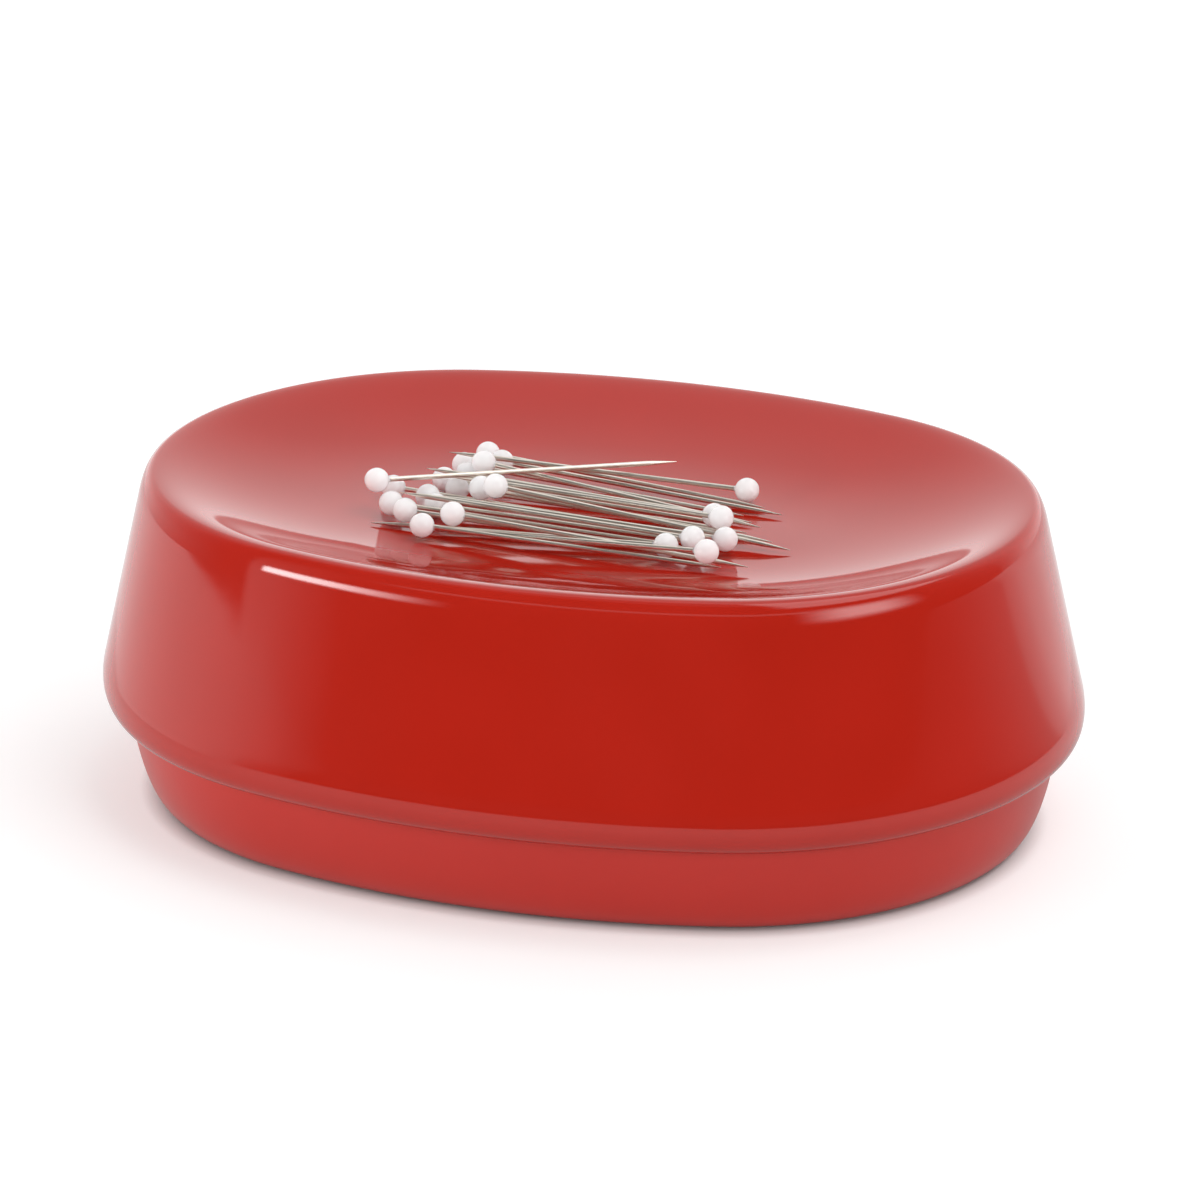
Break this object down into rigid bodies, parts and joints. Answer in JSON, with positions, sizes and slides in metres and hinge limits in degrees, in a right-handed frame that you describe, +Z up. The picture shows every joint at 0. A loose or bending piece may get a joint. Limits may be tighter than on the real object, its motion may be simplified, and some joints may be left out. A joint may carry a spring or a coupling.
{
  "type": "magnetic pin bowl",
  "caption": "Oval magnetic bowl with a shallow dish that holds a heap of ball head dressmaking pins, on a stepped tapered base.",
  "frame": {"origin": "middle of the bowl, on the surface that its feet stand on", "axes": "+X along the bowl's length, +Y from the front to the back, +Z up"},
  "size_m": [0.1138, 0.0852, 0.0395],
  "materials": {
    "gloss_red": "high gloss moulded",
    "satin_red": "satin moulded",
    "black_plastic": "moulded",
    "ferrite": "pressed and sintered",
    "bare_steel": "rolled sheet",
    "foam": "open cell",
    "screw_steel": "zinc plated",
    "rubber": "matt",
    "pin_steel": "nickel plated drawn wire",
    "white_ball": "gloss"
  },
  "bodies": {
    "bowl": {"top_shell": "gloss_red", "base_shell": "satin_red", "magnet_left": "ferrite", "magnet_right": "ferrite", "keeper_plate": "bare_steel", "foam_pad": "foam", "magnet_tray": "black_plastic", "tray_screws": "screw_steel", "base_screws": "screw_steel", "foot_front_left": "rubber", "foot_front_right": "rubber", "foot_rear_left": "rubber", "foot_rear_right": "rubber"},
    "heap": {"left_pin_shafts": "pin_steel", "left_pin_heads": "white_ball", "right_pin_shafts": "pin_steel", "right_pin_heads": "white_ball"},
    "front_pin": {"front_pin_shaft": "pin_steel", "front_pin_head": "white_ball"},
    "second_pin": {"second_pin_shaft": "pin_steel", "second_pin_head": "white_ball"},
    "upper_pin": {"upper_pin_shaft": "pin_steel", "upper_pin_head": "white_ball"},
    "crossing_pin": {"crossing_pin_shaft": "pin_steel", "crossing_pin_head": "white_ball"}
  },
  "joints": [
    {"name": "heap_lift", "type": "slide", "parent": "bowl", "child": "heap", "axis": [0, 0, 1], "range_m": [0, 0.05]},
    {"name": "front_lift", "type": "slide", "parent": "heap", "child": "front_pin", "axis": [0, 0, 1], "range_m": [0, 0.04]},
    {"name": "second_lift", "type": "slide", "parent": "heap", "child": "second_pin", "axis": [0, 0, 1], "range_m": [0, 0.04]},
    {"name": "upper_lift", "type": "slide", "parent": "heap", "child": "upper_pin", "axis": [0, 0, 1], "range_m": [0, 0.04]},
    {"name": "crossing_lift", "type": "slide", "parent": "upper_pin", "child": "crossing_pin", "axis": [0, 0, 1], "range_m": [0, 0.04]}
  ]
}
